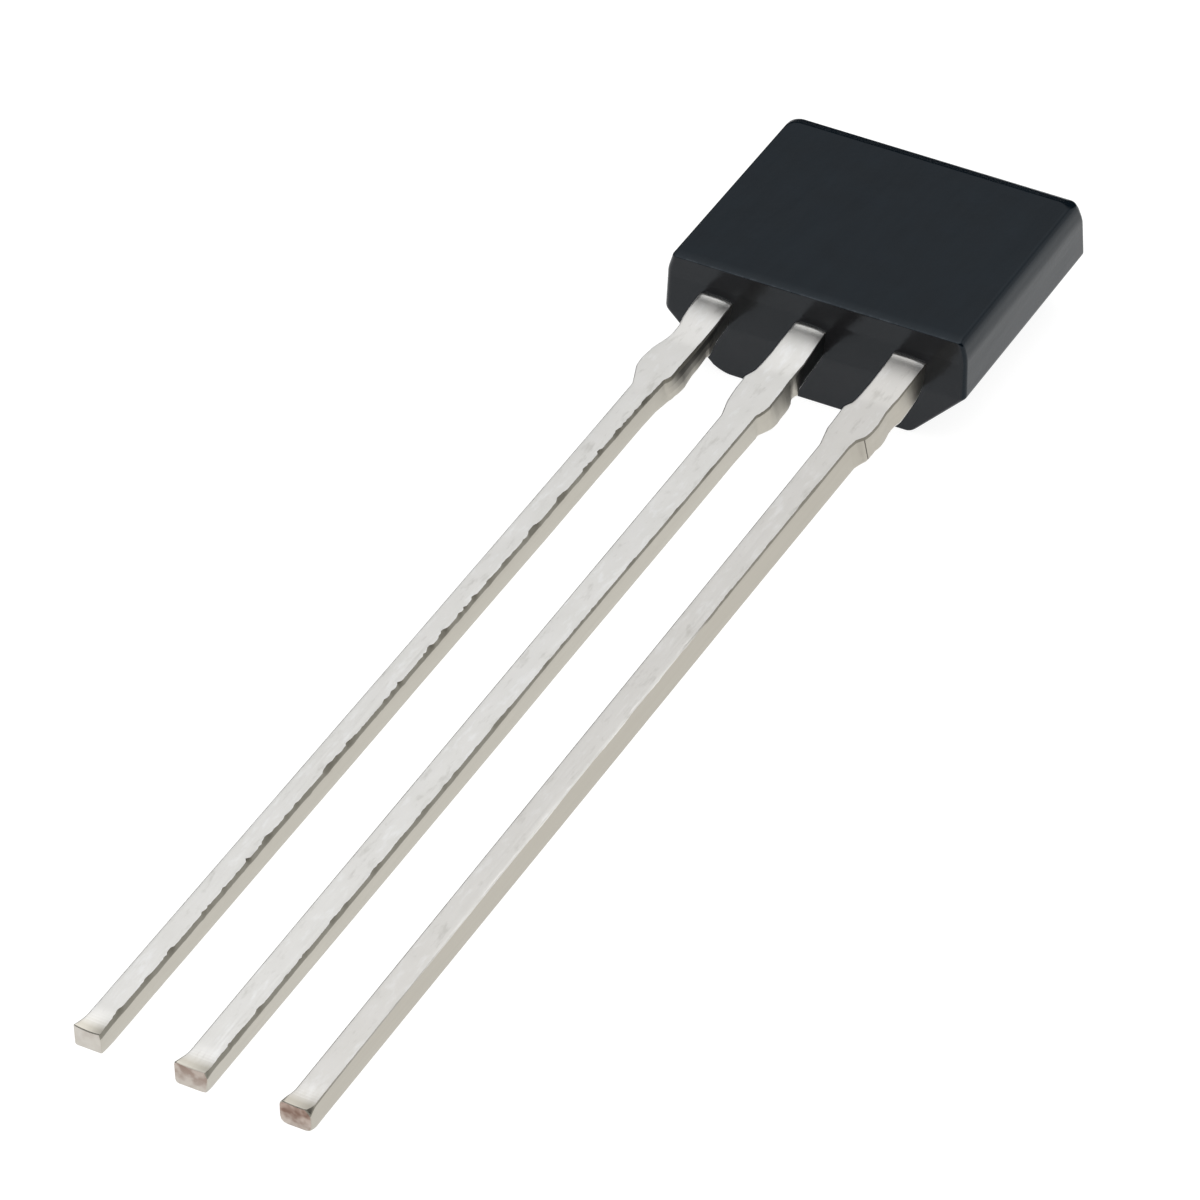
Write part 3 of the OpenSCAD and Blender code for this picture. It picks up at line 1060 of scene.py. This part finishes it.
def bond_wire_tree():
    """Geometry Nodes that draw a looped wire, with its ball at one end and its stitch at the
    other. Rise and Over are the handles of the loop's curve."""
    tree = bpy.data.node_groups.new("bond_wire", "GeometryNodeTree")
    for name in ("Start", "Rise", "Over", "End", "Ball", "Stitch", "Stitch Size"):
        tree.interface.new_socket(name, in_out="INPUT", socket_type="NodeSocketVector")
    for name in ("Wire Radius", "Ball Radius", "Heading"):
        tree.interface.new_socket(name, in_out="INPUT", socket_type="NodeSocketFloat")
    tree.interface.new_socket("Material", in_out="INPUT", socket_type="NodeSocketMaterial")
    tree.interface.new_socket("Geometry", in_out="OUTPUT", socket_type="NodeSocketGeometry")
    given = add_node(tree, "NodeGroupInput").outputs
    path = add_node(tree, "GeometryNodeCurvePrimitiveBezierSegment", {
        "Resolution": 32,
        "Start": given["Start"],
        "Start Handle": given["Rise"],
        "End Handle": given["Over"],
        "End": given["End"],
    }, mode="POSITION")
    ring = add_node(tree, "GeometryNodeCurvePrimitiveCircle", {
        "Resolution": 16,
        "Radius": given["Wire Radius"],
    }, mode="RADIUS")
    wire = add_node(tree, "GeometryNodeCurveToMesh", {
        "Curve": path.outputs["Curve"],
        "Profile Curve": ring.outputs["Curve"],
        "Fill Caps": True,
    })
    bead = add_node(tree, "GeometryNodeMeshUVSphere", {
        "Segments": 24,
        "Rings": 12,
        "Radius": given["Ball Radius"],
    })
    ball = add_node(tree, "GeometryNodeTransform", {
        "Geometry": bead.outputs["Mesh"],
        "Translation": given["Ball"],
        "Scale": (1, 1, ball_flatness),
    })
    foot = add_node(tree, "GeometryNodeMeshUVSphere", {"Segments": 24, "Rings": 12, "Radius": 0.5})
    heading = add_node(tree, "ShaderNodeCombineXYZ", {"Z": given["Heading"]})
    stitch = add_node(tree, "GeometryNodeTransform", {
        "Geometry": foot.outputs["Mesh"],
        "Translation": given["Stitch"],
        "Rotation": heading.outputs["Vector"],
        "Scale": given["Stitch Size"],
    })
    joined = add_node(tree, "GeometryNodeJoinGeometry")
    for part in (wire, ball, stitch):
        tree.links.new(part.outputs[0], joined.inputs["Geometry"])
    smooth = add_node(tree, "GeometryNodeSetShadeSmooth", {"Geometry": joined.outputs["Geometry"]})
    whole = add_node(tree, "GeometryNodeRealizeInstances", {"Geometry": smooth.outputs["Geometry"]})
    gilded = add_node(tree, "GeometryNodeSetMaterial", {
        "Geometry": whole.outputs["Geometry"],
        "Material": given["Material"],
    })
    add_node(tree, "NodeGroupOutput", {"Geometry": gilded.outputs["Geometry"]})
    return tree


gold = drawn_gold()
looped_wire = bond_wire_tree()
down = Vector((0, 0, -1))
ball_centre = ball_radius * ball_flatness

# Each wire's lead, its pad on the chip and its landing on the lead.
bonds = [
    ("supply", (0.43, -0.355), (1.27, -0.725)),
    ("ground", (0, -0.355), (0, -0.925)),
    ("output", (-0.43, -0.355), (-1.27, -0.725)),
]
for lead_name, pad, landing in bonds:
    pad_point = Vector((*pad, 0)) * MM
    run = Vector((*landing, 0)) * MM - pad_point
    along_run = run.normalized()
    run_end = run.length - stitch_length / 2
    chip_front = pad_point + Vector((0, 0, chip_front_z))
    lead_front = pad_point + Vector((0, 0, sheet_bottom * MM))
    wire = new_piece(lead_name + "_bond_wire", bmesh.new())
    run_tree(wire, looped_wire, {
        "Start": chip_front + down * ball_centre * 2,
        "Rise": chip_front + down * loop_height,
        "Over": chip_front + along_run * run_end * 0.6 + down * loop_height,
        "End": lead_front + along_run * run_end + down * wire_radius,
        "Ball": chip_front + down * ball_centre,
        "Stitch": lead_front + along_run * run.length + down * stitch_thickness / 2,
        "Stitch Size": (stitch_length, stitch_width, stitch_thickness),
        "Wire Radius": wire_radius,
        "Ball Radius": ball_radius,
        "Heading": math.atan2(along_run.y, along_run.x),
        "Material": gold,
    })
    finish_piece(wire, "gold_wire", lead_name + "_wire")


# Floor and light: a white sheet a hair below the sensor, in a room that is dark low down and in
# front and bright overhead, as under a large soft light.
floor_gap = 0.002 * MM
paper_sheet = bmesh.new()
bmesh.ops.create_grid(paper_sheet, x_segments=1, y_segments=1, size=0.6)
floor = new_piece("floor", paper_sheet)
floor.location.z = -floor_gap


def white_sheet():
    """White paper. Seen straight or in a reflection it is nearly white, with the soft shadow."""
    material, tree, output = new_material("white_paper")
    path = add_node(tree, "ShaderNodeLightPath")
    seen = add_node(tree, "ShaderNodeMath", {
        0: path.outputs["Is Camera Ray"],
        1: path.outputs["Is Glossy Ray"],
    }, operation="MAXIMUM")
    seen = add_node(tree, "ShaderNodeMath", {
        0: seen.outputs[0],
        1: path.outputs["Is Transmission Ray"],
    }, operation="MAXIMUM")
    paper = add_node(tree, "ShaderNodeBsdfDiffuse", {"Color": linear("#E8E8E6")})
    shaded = add_node(tree, "ShaderNodeBsdfDiffuse", {"Color": linear("#8A8A89")})
    glow = add_node(tree, "ShaderNodeEmission", {"Color": linear("#FFFFFF"), "Strength": 0.91})
    backdrop = add_node(tree, "ShaderNodeAddShader", {0: shaded.outputs[0], 1: glow.outputs[0]})
    mix = add_node(tree, "ShaderNodeMixShader", {
        0: seen.outputs[0],
        1: paper.outputs[0],
        2: backdrop.outputs[0],
    })
    tree.links.new(mix.outputs[0], output.inputs["Surface"])
    return material


floor.data.materials.append(white_sheet())

world = bpy.data.worlds.new("studio")
scene.world = world
world.use_nodes = True
room = world.node_tree
room.nodes.clear()
direction = add_node(room, "ShaderNodeTexCoord").outputs["Generated"]

# The room's brightness, from the dark walls up to the ceiling, and a bright panel behind the
# sensor, to the right.
up = (0, 0.08, 1)
behind_right = (0.72, 0.66, 0.2)
brightest = 2.2
room_levels = ((0.54, 0.04), (0.62, 0.66), (0.7, 0.82), (0.8, 1.3), (0.95, brightest))
overhead = add_node(room, "ShaderNodeValToRGB", {
    "Fac": add_node(room, "ShaderNodeVectorMath", {
        0: direction,
        1: up,
    }, operation="DOT_PRODUCT").outputs["Value"],
})
stops = overhead.color_ramp.elements
for height, room_level in room_levels:
    stops.new(height).color = [room_level / brightest] * 3 + [1]
stops.remove(stops[-1])
stops.remove(stops[0])
overhead_level = add_node(room, "ShaderNodeMath", {
    0: overhead.outputs["Color"],
    1: brightest,
}, operation="MULTIPLY")
beside = add_node(room, "ShaderNodeMapRange", {
    "Value": add_node(room, "ShaderNodeVectorMath", {
        0: direction,
        1: behind_right,
    }, operation="DOT_PRODUCT").outputs["Value"],
    "From Min": 0.8,
    "From Max": 0.95,
    "To Max": 1.1,
}, interpolation_type="SMOOTHSTEP")
level = add_node(room, "ShaderNodeMath", {
    0: overhead_level.outputs[0],
    1: beside.outputs["Result"],
}, operation="MAXIMUM")
studio = add_node(room, "ShaderNodeBackground", {"Strength": level.outputs[0]})
plain = add_node(room, "ShaderNodeBackground", {"Color": linear("#FFFFFF"), "Strength": 1.0})
chosen = add_node(room, "ShaderNodeMixShader", {
    0: add_node(room, "ShaderNodeLightPath").outputs["Is Camera Ray"],
    1: studio.outputs[0],
    2: plain.outputs[0],
})
room.links.new(chosen.outputs[0], add_node(room, "ShaderNodeOutputWorld").inputs["Surface"])

# A weak square lamp overhead, which softens the shadow under the leads.
softbox_data = bpy.data.lights.new("softbox", "AREA")
softbox_data.shape = "SQUARE"
softbox_data.size = 0.25
softbox_data.energy = 0.03
softbox = bpy.data.objects.new("softbox", softbox_data)
softbox.location = (0.0, 0.03, 0.25)
scene.collection.objects.link(softbox)

scene.view_settings.view_transform = "Standard"
